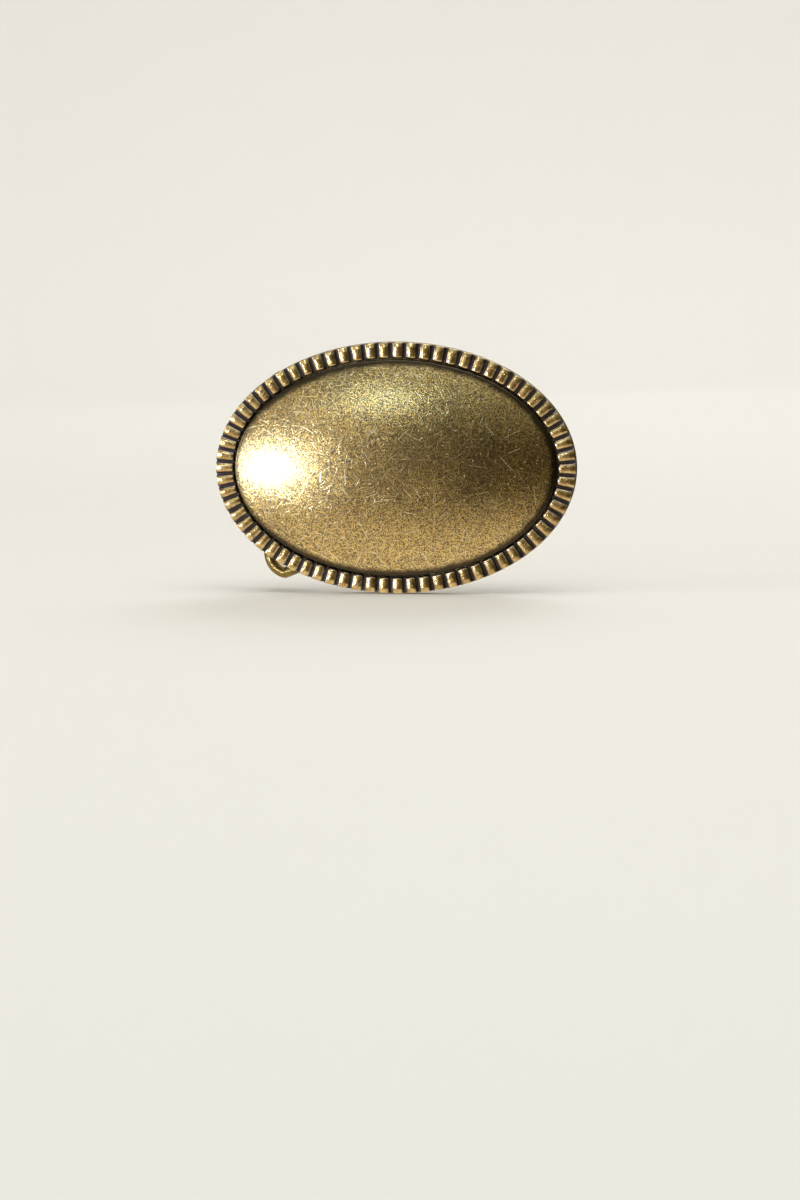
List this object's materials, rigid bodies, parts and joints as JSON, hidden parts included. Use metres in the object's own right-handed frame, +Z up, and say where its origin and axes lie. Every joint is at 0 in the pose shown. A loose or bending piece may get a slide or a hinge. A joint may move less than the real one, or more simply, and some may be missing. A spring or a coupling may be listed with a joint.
{
  "type": "belt buckle",
  "caption": "Oval plate belt buckle in antique brass: a smooth dome in a beaded border, with a swinging wire bail and a strap hook on its back.",
  "frame": {"origin": "centre of the flat back of the back plate", "axes": "+Y out of the back towards the wearer, so the face looks along -Y; +X to the right seen from the front, along the long axis of the oval, with the hook at +X and the bail at -X; +Z up"},
  "size_m": [0.075, 0.0162, 0.0522],
  "materials": {
    "plate_brass": "oxidised antique brass, cast and tumbled, dark in the hollows",
    "border_brass": "antique brass, crests rubbed bright, gaps nearly black",
    "face_brass": "antique brass, finely scratched satin with a dark oxidised edge",
    "fitting_brass": "antique brass, dull, with darker corners",
    "wire_brass": "antique brass wire, polished by wear"
  },
  "bodies": {
    "buckle": {"back_plate": "plate_brass", "beaded_border": "border_brass", "domed_face": "face_brass", "hinge_barrel": "fitting_brass", "hook_base": "fitting_brass", "hook_post": "wire_brass"},
    "bail": {"bail_loop": "wire_brass"}
  },
  "joints": [
    {"name": "bail_hinge", "type": "hinge", "parent": "buckle", "child": "bail", "pos_m": [-0.014, 0.0034, -0.0019], "axis": [0, 0, -1], "range_deg": [-20, 170]}
  ]
}
